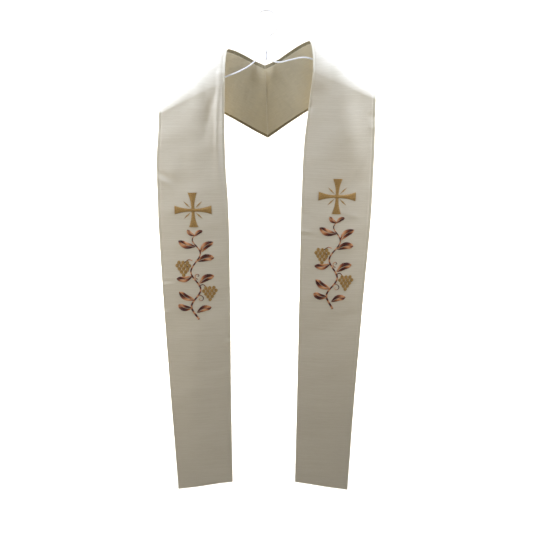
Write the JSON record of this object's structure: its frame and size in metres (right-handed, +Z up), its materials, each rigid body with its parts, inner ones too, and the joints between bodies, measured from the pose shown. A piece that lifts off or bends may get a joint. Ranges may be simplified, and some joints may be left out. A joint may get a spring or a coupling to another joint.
{
  "type": "clergy stole on a hanger",
  "caption": "Long ivory clergy stole, lined, with a pointed mitred back seam, hanging by its shoulders on a plain white wire hanger.",
  "frame": {"origin": "inner top of the hanger's hook, where it hangs on a rail", "axes": "+Z up along the hanging cloth, -Y towards the front of the stole, +X to the right seen from the front"},
  "size_m": [0.4785, 0.0614, 1.2315],
  "materials": {
    "ivory_satin": "ribbed ivory satin with a soft sheen, embroidered in gold and copper thread",
    "ivory_lining": "plain ivory lining cloth, faintly glossy",
    "white_wire": "smooth white plastic-coated wire"
  },
  "bodies": {
    "root": {"strip_left": "ivory_satin", "strip_right": "ivory_satin", "lining_left": "ivory_lining", "lining_right": "ivory_lining", "hanger_arm_left": "white_wire", "hanger_arm_right": "white_wire", "hanger_hook": "white_wire", "hanger_neck": "white_wire"}
  },
  "joints": []
}
